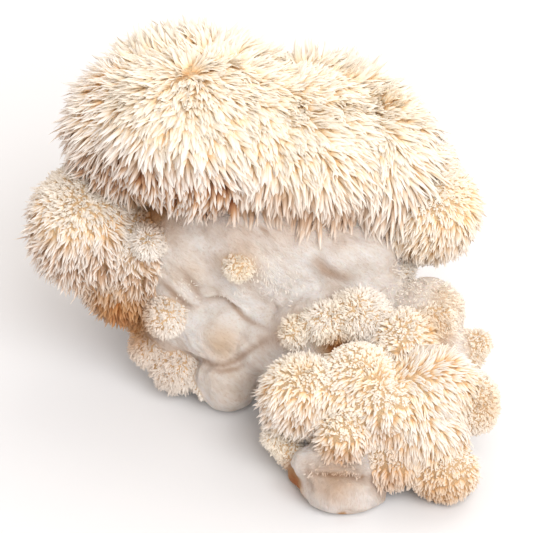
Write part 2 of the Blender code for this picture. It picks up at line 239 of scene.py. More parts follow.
# The bare flesh
FLESH_VOXEL = 1.6          # mm, grid that fuses the lobes
FLESH_SMOOTHING = 10       # rounds, which fill the creases as far as the solid's do
LOBE_SUBDIVISIONS = 5      # fineness of one lobe's ball before the lobes are fused
MANE_EDGE = 1.5            # mm, half the width of the change from bare to maned skin
FINE_FRONT = 10            # mm, in front of this Y the skin is finer, for the folds,
FINE_SHARE = 0.3           # where more than this share of it is bare
FOLD_REACH = 6             # mm, a fold marks only skin this near its path
FOLD_FADE = 0.8            # power with which a fold fades towards the ends of its path
GROOVE_PLACE = -0.4        # where the groove is deepest, in half widths to the left of the path
LIP_PLACE = 1.3            # and where the lip is highest
LIP_WIDTH = 1.2            # half widths in which the lip falls off
FLAT_FOOT = (0.5, 4)       # mm above the floor where the flesh is still even, and where it is fully uneven

# The felt of the bare front runs down to the right in streaks, which are longer than they are wide
FLOW_AXES = ((0.77, 0, -0.64), (0.64, 0, 0.77), (0, 1, 0))
FLOW_STRETCH = 0.4

# Unevenness of the bare flesh: height and length of the waves (mm), a start for the noise, and whether the
# waves follow the streaks
WAVES = ((0.9, 16, 3.1, False), (1.1, 6, 9.7, True), (0.55, 2.6, 5.3, True), (0.12, 1.8, 7.9, False))

# Where the felt runs up and down instead: centre, radius (mm) and strength, which counts up to 1
UPRIGHT_PLACES = [((30, -76, 6), 15, 1.5)]
RIB_HEIGHT = 0.7           # mm
RIB_WIDTH = 2.0            # mm
RIB_STRETCH = 0.15         # a rib's width as a share of its length

# Folds of the bare flesh: what each is, half width, depth, height of the lip on the left of the path as it
# is walked, and the path's points on the skin (mm)
FOLDS = [
    ("crease from the brow", 1.8, 0.6, 0.4,
     [(-32.5, -6, 62.6), (-29, -7.6, 56), (-26, -7.6, 49), (-23.5, -7, 43.5)]),
    ("crease at the side", 1.8, 0.5, 0.4,
     [(-41.6, -4, 55), (-36.3, -6.5, 49.4), (-31, -6.5, 43), (-27.2, -7.6, 41)]),
    ("lip of the upper flesh", 1.2, 1.2, 1.2,
     [(-28.4, -6.5, 41.2), (-24.5, -6.8, 44.7), (-20.2, -6.1, 46), (-16.3, -7.3, 47), (-13.3, -7.5, 44.8),
      (-11, -8.8, 42), (-8.7, -10.7, 40), (-5.6, -14.3, 40.5), (-1.7, -17.4, 41), (3, -21, 41.5)]),
    ("foot of the belly", 1.4, 1.2, 0.9,
     [(-37, -7.8, 23), (-32.4, -9, 21), (-27.4, -12, 21), (-21.9, -18.8, 23.1), (-16.8, -20.9, 24.3),
      (-12.6, -19.1, 24.8), (-8.7, -20.4, 29.5), (-4.4, -21.9, 34.8), (0, -21.6, 38), (3.6, -23, 41)]),
    ("top of the bottom lobe", 1.2, 0.3, 0.3,
     [(-23.5, -19, 21.7), (-17.2, -22.5, 22.5), (-11.8, -21.3, 22.6), (-7.9, -21, 26)]),
    ("line under the cap", 0.9, 0.15, 0.15,
     [(-3.2, -7, 81.4), (-0.8, -8, 79.5), (1.7, -8.8, 77.6)]),
    ("foot of the right bulge", 3.0, 0.35, 0.3,
     [(17.9, -8.7, 70), (20.2, -9.5, 66.3), (23.2, -11, 63.2), (28.6, -11.5, 60.7), (34.7, -10.7, 59.1)]),
    ("crease over the stub", 1.0, 1.1, 0.9,
     [(13.5, -72, 18.6), (16.5, -74.3, 17.8), (21.8, -75.3, 18.3), (29.1, -75.2, 18.2), (33.5, -75.3, 16.7),
      (38.5, -73.2, 14.7)]),
]

# Swellings and hollows of the bare flesh: centre, radius and height (mm)
SWELLINGS = [
    ((-16.7, -17, 34), 8, 1.6),
    ((-14.8, -25.7, 18.5), 6, 0.8),
    ((29.6, -8.7, 69), 10, 0.8),
    ((-22, -7, 38), 5, -1.0),
    ((-39, 9, 76), 9, 4.0),
]

# Warmer places, mostly the mushroom's own yellow and orange. In the hollow behind the saddle, on the saddle
# and in the corner under the cap, the warmth is painted light, a glow that stands in for light through the
# spines in shade. Each has a centre, radius (mm) and strength from 0 to 1
WARM_PLACES = [
    ((-31, 19, 131), 16, 0.6),      # the crown of the cap, where the spines part
    ((-24, 40, 128), 32, 0.3),
    ((18, 30, 120), 32, 0.35),      # the saddle
    # painted light: a warm glow where the hollow behind the saddle lies in shade
    ((48, 31, 110), 14, 0.85),      # the hollow behind the saddle
    ((51, 42, 107), 10, 0.7),
    # painted light: a warm glow where the saddle's spines lie in shade
    ((31, 19, 116), 11, 0.8),
    ((13, 16, 119), 9, 0.8),
    ((-10, 41, 122), 8, 0.7),
    ((-5, 0, 112), 14, 0.5),        # the seam that runs right from the crown
    ((15, -4, 104), 16, 0.6),
    ((34, -3, 98), 16, 0.45),
    ((76, 10, 78), 15, 0.95),       # the tip of the right lobe
    ((60, 0, 66), 16, 0.45),
    ((-57, -4, 35), 12, 0.9),       # the underside of the left lobe
    # painted light: a warm orange glow where the corner under the cap lies in shade
    ((-45, 15, 73), 9, 1.0),        # the corner under the cap
    ((-9, -15, 65), 8, 1.0),        # the golden tuft
    ((63, -30, 50), 9, 1.0),        # the shoulder's bristles
    ((60, -16, 53), 12, 0.45),      # the shoulder
    ((79, -29, 38), 9, 0.8),        # the beads beside it
    ((82, -57, 35), 10, 1.0),       # the edge of the right pom-pom
    ((10, -50, 46), 13, 0.75),      # the tops of the pom-poms
    ((37, -52, 50), 12, 0.7),
    ((26, -66, 33), 9, 0.6),
    ((10, -28, 49), 8, 0.8),        # the knots beside the crown tuft
    ((28, -26, 58), 10, 0.5),
    ((52, -64, 38), 9, 0.5),
    ((66, -74, 12), 15, 0.6),       # the bottom corner
    ((-17, -18, 32), 8, 0.75),      # the tan patch over the bottom lobe
    ((-13, -23, 14), 15, 0.3),      # the bottom lobe
    ((-31, -7, 57), 12, 0.3),       # the flesh beside the brow
    ((-20, -8, 47), 9, 0.2),
    ((25, -33.5, 45), 8, 1.0),      # the pit under the crown tuft
    ((68, -22, 56), 10, 0.7),       # the fuzz on the shoulder
    ((6, -54, 11), 9, 0.8),         # the bits at the lower left of the cluster
]

# Stained and shaded places, tan to orange brown. Some are stains where the mushroom is old or damp. Those
# under the left lobe, in the corner and along the line under the cap, and on the collar, the stub, the chin
# and the bottom corner are painted shade. Each has a centre, radius and strength as above
STAINED_AND_SHADED_PLACES = [
    # painted shade under the left lobe
    ((-57, -4, 32), 13, 0.65),      # the underside of the left lobe
    ((-53, 0, 29), 5, 0.5),
    # painted shade in the corner under the cap
    ((-40, 9, 75), 8, 0.6),         # the corner under the cap
    ((-35, 4, 76), 8, 0.25),        # the shade line under the cap
    ((-14, -8, 79), 11, 0.17),
    ((9, -8, 81), 11, 0.19),
    ((28, -4, 78), 9, 0.17),
    # painted shade on the collar and the stub, which lie under the pom-poms
    ((25, -77, 16), 12, 0.3),       # the collar and the stub
    ((30, -80, 6), 13, 0.14),
    ((21.5, -76.5, 17.8), 1.3, 0.4),
    ((29, -76.5, 18), 1.5, 0.4),
    ((35, -75, 16.5), 1.2, 0.35),
    ((28, -81, 1.5), 2.0, 1.0),     # the hole at the stub's foot
    # painted shade on the chin, under the apron
    ((46, -75, 14), 10, 0.25),      # the chin
    # painted shade on the bottom corner
    ((64, -75, 7), 12, 0.24),       # the bottom corner
    ((11, -66, 5), 6, 0.9),         # the little root beside the stub
    ((-40, -8, 14), 16, 0.1),       # the ridge
    ((2, -24, 41), 7, 0.2),         # the joint with the lower cluster
    ((82, -58, 34), 10, 0.13),      # the edge of the right pom-pom
    ((63.5, -31, 51), 7, 0.16),     # the shoulder's bristles
    ((26, -33.5, 44), 4, 0.6),      # the pit under the crown tuft
    ((79, -29, 38), 9, 0.08),
    ((-8, -16, 65), 7, 0.05),       # the golden tuft
]

# Sparse bristles on the bare flesh: centre, radius, spacing, length (mm) and piece
BRISTLES = [
    ((-3, -14, 63), 9, 0.75, 2.4, "tufts_on_flesh"),
    ((5, -13, 57), 10, 0.8, 2.2, "tufts_on_flesh"),
    ((-14, -8, 52), 9, 1.1, 1.8, "tufts_on_flesh"),
    ((-30, -9, 50), 8, 1.1, 1.6, "tufts_on_flesh"),
    ((16, -74.5, 19.5), 5, 0.6, 1.8, "pompoms_bottom"),
    ((23, -75, 19.5), 5, 0.6, 1.8, "pompoms_bottom"),
    ((31, -75, 19), 5, 0.6, 1.8, "pompoms_bottom"),
    ((68, -22, 56), 13, 0.5, 2.2, "pompoms_shoulder"),
    ((72, -27, 47), 10, 0.5, 2.2, "pompoms_shoulder"),
    ((54, -14, 56), 9, 0.6, 1.8, "pompoms_shoulder"),
    ((50, -1, 53), 7, 0.6, 2.0, "mane_right_side"),
]

# Partings that the spines run away from: points (mm), strength beside the pull downwards, how far from the
# parting that strength is reached, and how far it lasts (mm)
PARTINGS = [
    ([(-28, 25, 130), (-16, 34, 127)], 0.9, 5, 50),         # on the cap's crown
    ([(40, -58, 42), (43, -55, 44)], 1.3, 3, 22),           # on the right pom-pom
]

# Where the spines are shorter: centre, radius (mm) and the share of the length that is lost
SHORT_PLACES = [
    ((-38, -2, 84), 10, 0.5),       # the fringe over the corner
    ((48, 31, 110), 10, 0.35),      # the hollow behind the saddle
]

# Colours along a spine, from the root to the tip
PALE_COLOURS = ((0.0, "F4C48C"), (0.14, "F9D5A8"), (0.34, "FBEBD4"), (0.58, "FAF4ED"))
WARM_COLOURS = ((0.0, "E6AE6C"), (0.18, "F2CC94"), (0.4, "FAE6C2"), (0.75, "FDF4E2"))
# painted shade: the darker colours that spines take on skin that faces forward or down
PAINTED_SHADE_COLOURS = ((0.0, "562C10"), (0.28, "8C5028"), (0.5, "C89C74"), (0.7, "EFE5DC"))

# What a stain or painted shade multiplies the colour by, from none to the strongest
STAIN_AND_SHADE_COLOURS = ((0.0, "FFFFFF"), (0.4, "CDA67E"), (1.0, "B0622A"))

# Size of the flesh's clouds, size of its fibres and depth of their relief (mm). The real fibres are far too
# fine to show, so they are drawn this coarse.
CLOUD_SIZE = 9
FIBRE_SIZE = 0.9
FIBRE_RELIEF = 1.3
UPRIGHT_STRETCH = 0.2      # a fibre's width as a share of its length, where the felt runs up and down

# What warm places, the painted shade in creases, and the skin under the mane turn the flesh's clouds to
TAN_COLOUR = "DDBB92"
CREASE_SHADE_COLOUR = "CDB5A2"
UNDER_MANE_COLOUR = "EFCFA6"

# The flesh's clouds, and what its felt of fibres multiplies them by between the fibres and on top of them
CLOUD_COLOURS = ((0.34, "EADFD6"), (0.5, "FCF8F5"), (0.62, "FFFEFE"))
FELT_COLOURS = ((0.34, "EFE7E0"), (0.48, "FDFBF9"), (0.6, "FFFFFF"))

# The camera of the photograph
CAMERA_TARGET = (0, 0, 55.8)   # mm
CAMERA_ELEVATION = 38          # degrees
CAMERA_DISTANCE = 750          # mm
CAMERA_LENS = 131.7            # mm
CAMERA_SENSOR = 36             # mm

# The studio, in metres and watts. Each light has a name, a place, a power and a colour.
FLOOR_SIZE = 4.0
FLOOR_DROP = 0.0003            # how far the floor lies under the foot, so that the two faces don't mix
LIGHT_SIZE = 1.0
LIGHT_TARGET = (0, 0, 0.05)
LIGHTS = [
    ("key", (0.42, -0.75, 0.95), 12.5, "FFFFFF"),
    ("back_right", (0.45, 0.6, 1.0), 5.2, "FFF9F2"),
    ("back_left", (-0.45, 1.0, 0.6), 4.0, "FFFFFF"),
]


# Small helpers


def linear(hex_colour):
    """sRGB hex digits as linear red, green, blue and alpha."""
    channels = []
    for start in (0, 2, 4):
        value = int(hex_colour[start:start + 2], 16) / 255
        channels.append(value / 12.92 if value <= 0.04045 else ((value + 0.055) / 1.055) ** 2.4)
    return (*channels, 1.0)


def unit(vectors):
    """Vectors scaled to length one."""
    length = np.linalg.norm(vectors, axis=-1, keepdims=True)
    return vectors / np.maximum(length, 1e-9)


def smooth_step(low, high, value):
    """0 below low, 1 above high and a smooth rise between them."""
    share = np.clip((value - low) / (high - low), 0.0, 1.0)
    return share * share * (3 - 2 * share)


def add_node(tree, kind, settings=(), links=()):
    """Adds a node, sets its properties and sockets by name, and links its inputs to other nodes' outputs.

    A mix node's sockets share their names, so they go by number: 6 and 7 are its colours, 4 and 5 its
    vectors. The setting "stops" gives a colour ramp its stops, each a place and a hex colour.
    """
    node = tree.nodes.new(kind)
    for name, value in dict(settings).items():
        if name == "stops":
            while len(node.color_ramp.elements) < len(value):
                node.color_ramp.elements.new(1.0)
            for element, (place, hex_colour) in zip(node.color_ramp.elements, value):
                element.position = place
                element.color = linear(hex_colour)
        elif isinstance(name, str) and hasattr(node, name):
            setattr(node, name, value)
        else:
            node.inputs[name].default_value = value
    for name, socket in dict(links).items():
        tree.links.new(socket, node.inputs[name])
    return node


def on_body(places):
    """A place or a path from the tables, moved with the body, in metres."""
    return (np.array(places, dtype=float) + BODY_SHIFT) * MM


def distance(points, centre, radius):
    """How far each point is from a place of the tables, as a share of its radius."""
    return np.linalg.norm(points - on_body(centre), axis=1) / (radius * MM)


def strength_at(points, places):
    """How strongly the places act at each point, from 0 to 1."""
    strength = np.zeros(len(points))
    for centre, radius, height in places:
        strength = np.maximum(strength, height * np.exp(-distance(points, centre, radius) ** 2))
    return strength


def wave(points, scale, start):
    """Smooth noise between about -1 and 1 at each point, whose waves are about scale millimetres long."""
    places = points / (scale * MM) + (start, 0, 0)
    return np.array([noise.noise(place) for place in places])


def search_tree(points):
    """Finds the points that are near a place."""
    tree = KDTree(len(points))
    for index, point in enumerate(points):
        tree.insert(point, index)
    tree.balance()
    return tree


def skin_arrays(mesh):
    """The mesh's points and their normals."""
    points = np.empty(len(mesh.vertices) * 3)
    mesh.vertices.foreach_get("co", points)
    normals = np.empty(len(mesh.vertices) * 3)
    mesh.vertices.foreach_get("normal", normals)
    return points.reshape(-1, 3), normals.reshape(-1, 3)


def store_layers(mesh, layers):
    """Keeps one number for each point and name, for the material to read."""
    for name, values in layers.items():
        layer = mesh.attributes.new(name, "FLOAT", "POINT")
        layer.data.foreach_set("value", values.astype(np.float32))


# The skin of the body


def lobe_matrix(lobe):
    """Turns the unit sphere into the lobe, in metres."""
    place = Matrix.Translation((Vector(lobe.centre) + Vector(BODY_SHIFT)) * MM)
    spin = Euler((0, math.radians(lobe.turn), 0)).to_matrix().to_4x4()
    size = Matrix.Diagonal([semi_axis * MM for semi_axis in lobe.semi_axes] + [1.0])
    return place @ spin @ size


def lobe_gaps(points):
    """Gap from each point to each lobe's surface, roughly, in metres."""
    gaps = np.empty((len(points), len(LOBES)))
    for column, lobe in enumerate(LOBES):
        to_unit = np.array(lobe_matrix(lobe).inverted())
        local = points @ to_unit[:3, :3].T + to_unit[:3, 3]
        gaps[:, column] = (np.linalg.norm(local, axis=1) - 1.0) * np.mean(lobe.semi_axes) * MM
    return gaps


def fused_flesh():
    """The lobes fused into one closed skin, with its creases smoothed."""
    bm = bmesh.new()
    for lobe in LOBES:
        bmesh.ops.create_icosphere(bm, subdivisions=LOBE_SUBDIVISIONS, radius=1.0, matrix=lobe_matrix(lobe))
    mesh = bpy.data.meshes.new("flesh_body")
    bm.to_mesh(mesh)
    bm.free()
    body = bpy.data.objects.new("flesh_body", mesh)
    bpy.context.scene.collection.objects.link(body)
    remesh = body.modifiers.new("fuse", "REMESH")
    remesh.mode = "VOXEL"
    remesh.voxel_size = FLESH_VOXEL * MM
    smooth = body.modifiers.new("creases", "SMOOTH")
    smooth.factor = 0.5
    smooth.iterations = FLESH_SMOOTHING
    body.data = bpy.data.meshes.new_from_object(body.evaluated_get(bpy.context.evaluated_depsgraph_get()))
    body.modifiers.clear()
    return body


def outer_piece(bm):
    """Removes the small closed pockets that the lobes enclose."""
    pieces = []
    seen = set()
    for start in bm.verts:
        if start in seen:
            continue
        piece = [start]
        seen.add(start)
        for vert in piece:
            for edge in vert.link_edges:
                other = edge.other_vert(vert)
                if other not in seen:
                    seen.add(other)
                    piece.append(other)
        pieces.append(piece)
    outer = max(pieces, key=len)
    pockets = [vert for piece in pieces if piece is not outer for vert in piece]
    bmesh.ops.delete(bm, geom=pockets, context="VERTS")


def bare_share(points):
    """1 where the nearest lobe is bare flesh, 0 where it has spines, and a smooth change between them."""
    gaps = lobe_gaps(points)
    bare = [index for index, lobe in enumerate(LOBES) if lobe.spine_length == 0]
    maned = [index for index, lobe in enumerate(LOBES) if lobe.spine_length > 0]
    lead = gaps[:, bare].min(axis=1) - gaps[:, maned].min(axis=1)
    return smooth_step(-MANE_EDGE * MM, MANE_EDGE * MM, -lead)


def cut_at_floor(mesh):
    """Makes the bare front finer, cuts the skin flat at the floor and closes the cuts."""
    bm = bmesh.new()
    bm.from_mesh(mesh)
    outer_piece(bm)
    bm.faces.ensure_lookup_table()
    centres = np.array([face.calc_center_median() for face in bm.faces])
    chosen = (bare_share(centres) > FINE_SHARE) & (centres[:, 1] < FINE_FRONT * MM) & (centres[:, 2] > 0)
    edges = {edge for index in np.flatnonzero(chosen) for edge in bm.faces[index].edges}
    bmesh.ops.subdivide_edges(bm, edges=list(edges), cuts=1, use_grid_fill=True)
    geometry = bm.verts[:] + bm.edges[:] + bm.faces[:]
    bmesh.ops.bisect_plane(bm, geom=geometry, dist=1e-6, plane_co=(0, 0, 0), plane_no=(0, 0, 1),
                           clear_inner=True)
    rim = [edge for edge in bm.edges if edge.is_boundary]
    bmesh.ops.holes_fill(bm, edges=rim, sides=0)
    bmesh.ops.triangulate(bm, faces=bm.faces[:])
    bmesh.ops.recalc_face_normals(bm, faces=bm.faces[:])
    bm.to_mesh(mesh)
    bm.free()


def fold_profile(points, normals, path, half_width):
    """Depth share of the groove and height share of the lip that a fold gives each point, from 0 to 1."""
    path = on_body(path)
    best = np.full(len(points), np.inf)
    signed = np.zeros(len(points))
    along = np.zeros(len(points))
    for index in range(len(path) - 1):
        start = path[index]
        stretch = path[index + 1] - start
        share = np.clip((points - start) @ stretch / (stretch @ stretch), 0, 1)
        offset = points - start - share[:, None] * stretch
        height = (offset * normals).sum(axis=1)
        gap = np.linalg.norm(offset - height[:, None] * normals, axis=1)
        closer = (gap < best) & (np.abs(height) < FOLD_REACH * MM)
        left = (np.cross(normals, stretch) * offset).sum(axis=1)
        best = np.where(closer, gap, best)
        signed = np.where(closer, np.sign(left) * gap, signed)
        along = np.where(closer, (index + share) / (len(path) - 1), along)
    fade = np.sin(np.pi * along) ** FOLD_FADE * (best < np.inf)
    place = signed / (half_width * MM)
    groove = fade * np.exp(-(place - GROOVE_PLACE) ** 2)
    lip = fade * np.exp(-((place - LIP_PLACE) / LIP_WIDTH) ** 2)
    return groove, lip


def sculpt_flesh(body):
    """Cuts the folds into the bare flesh, gives it soft swellings, and stores what the material needs."""
    mesh = body.data
    points, normals = skin_arrays(mesh)
    bare = bare_share(points)
    lift = np.zeros(len(points))
    groove = np.zeros(len(points))
    for _, half_width, depth, lip_height, path in FOLDS:
        cut, lip = fold_profile(points, normals, path, half_width)
        lift += lip_height * lip - depth * cut
        groove = np.maximum(groove, cut)
    for centre, radius, height in SWELLINGS:
        lift += height * np.exp(-distance(points, centre, radius) ** 2)
    streaks = points @ np.array(FLOW_AXES).T * (FLOW_STRETCH, 1, 1)
    for height, scale, start, in_streaks in WAVES:
        lift += height * wave(streaks if in_streaks else points, scale, start)
    upright = np.minimum(strength_at(points, UPRIGHT_PLACES), 1.0)
    lift += RIB_HEIGHT * upright * wave(points * (1, 1, RIB_STRETCH), RIB_WIDTH, RIB_START)
    above_floor = smooth_step(FLAT_FOOT[0] * MM, FLAT_FOOT[1] * MM, points[:, 2])
    points = points + normals * (lift * MM * bare * above_floor)[:, None]
    points[:, 2] = np.maximum(points[:, 2], 0.0)
    mesh.vertices.foreach_set("co", points.ravel())
    # kept for the material, among them the stains and painted shade of the table of places
    store_layers(mesh, {"maned": 1 - bare, "groove": groove, "warmth": strength_at(points, WARM_PLACES),
                        "stain": strength_at(points, STAINED_AND_SHADED_PLACES), "upright": upright})
    mesh.shade_smooth()
    mesh.update()


# The spines


def scattered_roots(rng, corners, corner_normals, spacing):
    """Points spread evenly over triangles, no two closer than the spacing, with the skin's normal at each."""
    sides = np.cross(corners[:, 1] - corners[:, 0], corners[:, 2] - corners[:, 0])
    area = np.linalg.norm(sides, axis=1) / 2
    tries = int(area.sum() / spacing ** 2 * TRIES) + LEAST_TRIES
    picked = rng.choice(len(area), size=tries, p=area / area.sum())
    first = np.sqrt(rng.random(tries))
    second = rng.random(tries)
    weights = np.stack([1 - first, first * (1 - second), first * second], axis=1)
    points = (weights[:, :, None] * corners[picked]).sum(axis=1)
    normals = unit((weights[:, :, None] * corner_normals[picked]).sum(axis=1))
    tree = search_tree(points)
    taken = np.zeros(tries, dtype=bool)
    kept = []
    for index in range(tries):
        if taken[index]:
            continue
        kept.append(index)
        for _, other, _ in tree.find_range(points[index], spacing):
            taken[other] = True
    return points[kept], normals[kept]


def off_partings(roots):
    """The way off the partings at each root, which fades with the distance."""
    push = np.zeros((len(roots), 3))
    for path, strength, begins, reach in PARTINGS:
        path = on_body(path)
        best = np.full((len(roots), 3), np.inf)
        for start, end in zip(path[:-1], path[1:]):
            stretch = end - start
            share = np.clip((roots - start) @ stretch / (stretch @ stretch), 0, 1)
            offset = roots - start - share[:, None] * stretch
            closer = np.linalg.norm(offset, axis=1) < np.linalg.norm(best, axis=1)
            best[closer] = offset[closer]
        gap = np.linalg.norm(best, axis=1) / MM
        share = (1 - np.exp(-(gap / begins) ** 2)) * np.exp(-(gap / reach) ** 2)
        push += unit(best) * (strength * share)[:, None]
    return push


def hanging_directions(roots, normals, lean):
    """Directions that lean from the skin's normal towards the way down along the skin, in loose swirls."""
    swirls = np.stack([wave(roots, DRIFT_SCALE, start) for start in SWIRL_STARTS], axis=1)
    pull = np.array([0.0, 0.0, -1.0]) + off_partings(roots) + DRIFT * swirls
    along = pull - normals * (normals * pull).sum(axis=1)[:, None]
    steepness = np.clip(np.linalg.norm(along, axis=1), LEAST_PULL, 1.0)
    patches = 1 + PATCH_LIFT * wave(roots, PATCH_SCALE, PATCH_START)
    angle = np.radians(lean) * steepness ** LEAN_RISE * patches
    return unit(normals * np.cos(angle)[:, None] + unit(along) * np.sin(angle)[:, None])


def spine_outline(share, blunt):
    """Width of a spine at a share of its length: widest at the root, where neighbours merge."""
    return max(1 - share ** blunt, 0) ** TAPER


def tuft_leaders(rng, roots, spacing):
    """For each root, the index of the root that its tuft grows round."""
    tree = search_tree(roots)
    leader = np.full(len(roots), -1)
    for index in rng.permutation(len(roots)):
        if leader[index] >= 0:
            continue
        for _, other, _ in tree.find_range(roots[index], spacing * rng.uniform(*TUFT_SIZES)):
            if leader[other] < 0:
                leader[other] = index
    return leader


class SpineBatch:
    """Spines of one style, as arrays that are joined into one mesh."""

    def __init__(self, rng, roots, normals, length, style):
        count = len(roots)
        self.count = count
        self.style = style
        fork = np.tan(np.radians(style["fork"]))
        leader = tuft_leaders(rng, roots, style["tuft"] * MM)
        first = hanging_directions(roots, normals, style["lean"] * ROOT_LEAN)
        last = hanging_directions(roots, normals, style["lean"] * TIP_LEAN)
        shared = style["shared"]
        first = unit(first * (1 - shared) + first[leader] * shared
                     + rng.normal(size=(count, 3))[leader] * fork * TUFT_FORK)
        last = unit(last * (1 - shared) + last[leader] * shared
                    + rng.normal(size=(count, 3))[leader] * fork)
        stray = (rng.random(count) < STRAY_SHARE)[:, None] * normals * STRAY_LIFT
        first = unit(first + stray + rng.normal(size=(count, 3)) * fork * OWN_FORK)
        last = unit(last + stray + rng.normal(size=(count, 3)) * fork)
        down = -normals[:, 2]
        lengths = length * style["share"] * rng.uniform(*LENGTHS, count)
        lengths *= rng.uniform(*TUFT_LENGTHS, count)[leader]
        size = style["top"] + (1 - style["top"]) * smooth_step(*SHORT_FACING, down)
        lengths *= size * (1 + style["hem"] * smooth_step(*HEM_FACING, down))
        lengths *= 1 + PATCH_LENGTH * wave(roots, LENGTH_SCALE, LENGTH_START)
        lengths *= 1 - strength_at(roots, SHORT_PLACES)
        start = roots - normals * (ROOT_DEPTH * MM) + (roots[leader] - roots) * ROOT_GATHER
        middle = start + first * (lengths * BEND)[:, None]
        middle += (middle[leader] - middle) * BEND_GATHER
        self.start = start
        self.middle = middle
        self.end = middle + last * (lengths * (1 - BEND))[:, None]
        self.side_axis = unit(np.cross(last, normals) + rng.normal(size=(count, 3)) * TWIST)
        self.width = style["width"] * MM * rng.uniform(*WIDTHS, count) * np.sqrt(size)
        self.warmth = np.maximum(strength_at(self.end, WARM_PLACES), style["warm"])
        # stains and painted shade from the table of places
        self.stain = strength_at(self.end, STAINED_AND_SHADED_PLACES)
        # painted shade: how much of the darker colours a spine takes, by how far its skin faces forward or
        # down
        self.hanging = style["deep_shade"] * smooth_step(*PAINTED_SHADE_FACING, down)
        self.tone = rng.uniform(0.0, 1.0, count)

    def mesh_arrays(self):
        """Points, quads, triangles and the values that the material reads."""
        rings = self.style["rings"]
        columns = len(rings) * SIDES + 1
        points = np.empty((self.count, columns, 3))
        shares = np.empty((self.count, columns))
        for ring, share in enumerate(rings):
            centre = ((1 - share) ** 2 * self.start + 2 * share * (1 - share) * self.middle
                      + share ** 2 * self.end)
            forward = unit((1 - share) * (self.middle - self.start) + share * (self.end - self.middle))
            across = unit(self.side_axis - forward * (self.side_axis * forward).sum(axis=1)[:, None])
            through = np.cross(forward, across)
            half = self.width * spine_outline(share, self.style["blunt"]) / 2
            for side in range(SIDES):
                angle = 2 * math.pi * side / SIDES - math.pi / 2
                spread = across * math.cos(angle) + through * math.sin(angle) * self.style["flat"]
                points[:, ring * SIDES + side] = centre + spread * half[:, None]
                # painted shade: the edges take a darker colour than the ridge
                shares[:, ring * SIDES + side] = share if side == 0 else share * SHADED_EDGE_SHARE
        points[:, -1] = self.end
        shares[:, -1] = 1.0
        shares = self.style["root"] + (1 - self.style["root"]) * shares
        points[..., 2] = np.maximum(points[..., 2], FLOOR_GAP * MM)
        quads = []
        caps = []
        for side in range(SIDES):
            beside = (side + 1) % SIDES
            for ring in range(len(rings) - 1):
                low, high = ring * SIDES, (ring + 1) * SIDES
                quads.append((low + side, low + beside, high + beside, high + side))
            top = (len(rings) - 1) * SIDES
            caps.append((top + side, top + beside, columns - 1))
        return points, shares, quads, caps


def spine_texture_places(batch, first, cells):
    """Corner places in a texture where each spine has one narrow cell: along it upwards, round it across."""
    rings = batch.style["rings"]
    quad_places = []
    cap_places = []
    for side in range(SIDES):
        left, right = side / SIDES, (side + 1) / SIDES
        for ring in range(len(rings) - 1):
            low, high = rings[ring], rings[ring + 1]
            quad_places.append(((left, low), (right, low), (right, high), (left, high)))
        cap_places.append(((left, rings[-1]), (right, rings[-1]), ((left + right) / 2, 1.0)))
    number = first + np.arange(batch.count)
    corner = np.stack([number % cells, number // cells], axis=1)[:, None, None, :]
    inner = 1 - 2 * TEXTURE_MARGIN
    quad_uv = (corner + TEXTURE_MARGIN + inner * np.array(quad_places)[None]) / cells
    cap_uv = (corner + TEXTURE_MARGIN + inner * np.array(cap_places)[None]) / cells
    return quad_uv.reshape(-1, 2), cap_uv.reshape(-1, 2)


def joined_spines(name, batches, material):
    """One mesh object that holds every spine of the batches."""
    points, faces, uvs = [], [], []
    layers = {"tip_share": [], "warmth": [], "stain": [], "tone": [], "hanging": []}
    total = sum(batch.count for batch in batches)
    cells = math.ceil(math.sqrt(total))
    first_point = 0
    first_spine = 0
    for batch in batches:
        batch_points, batch_shares, quads, caps = batch.mesh_arrays()
        columns = batch_points.shape[1]
        base = first_point + columns * np.arange(batch.count)[:, None, None]
        faces += (base + np.array(quads)[None]).reshape(-1, 4).tolist()
        faces += (base + np.array(caps)[None]).reshape(-1, 3).tolist()
        uvs += spine_texture_places(batch, first_spine, cells)
        points.append(batch_points.reshape(-1, 3))
        layers["tip_share"].append(batch_shares.ravel())
        for layer in ("warmth", "stain", "tone", "hanging"):
            layers[layer].append(np.repeat(getattr(batch, layer), columns))
        first_point += columns * batch.count
        first_spine += batch.count
    mesh = bpy.data.meshes.new(name)
    mesh.from_pydata(np.concatenate(points).tolist(), [], faces)
    store_layers(mesh, {layer: np.concatenate(values) for layer, values in layers.items()})
    uv_layer = mesh.uv_layers.new(name="OFBake")
    uv_layer.uv.foreach_set("vector", np.concatenate(uvs).ravel().astype(np.float32))
    mesh.materials.append(material)
    piece = bpy.data.objects.new(name, mesh)
    bpy.context.scene.collection.objects.link(piece)
    return piece


def bristle_batches(points, normals, triangles, bare):
    """Short fine spines, scattered round places on the bare flesh."""
    centres = points[triangles].mean(axis=1)
    batches = []
    for number, (centre, radius, spacing, length, piece_name) in enumerate(BRISTLES):
        rng = np.random.default_rng(SEED * 10 + number)
        chosen = triangles[bare & (distance(centres, centre, radius) < 1)]
        if len(chosen) == 0:
            continue
        roots, root_normals = scattered_roots(rng, points[chosen], normals[chosen], spacing * MM)
        kept = rng.random(len(roots)) < 1 - distance(roots, centre, radius) ** 2
        if kept.any():
            batches.append((piece_name, SpineBatch(rng, roots[kept], root_normals[kept], length * MM,
                                                   STYLES["fluff"])))
    return batches


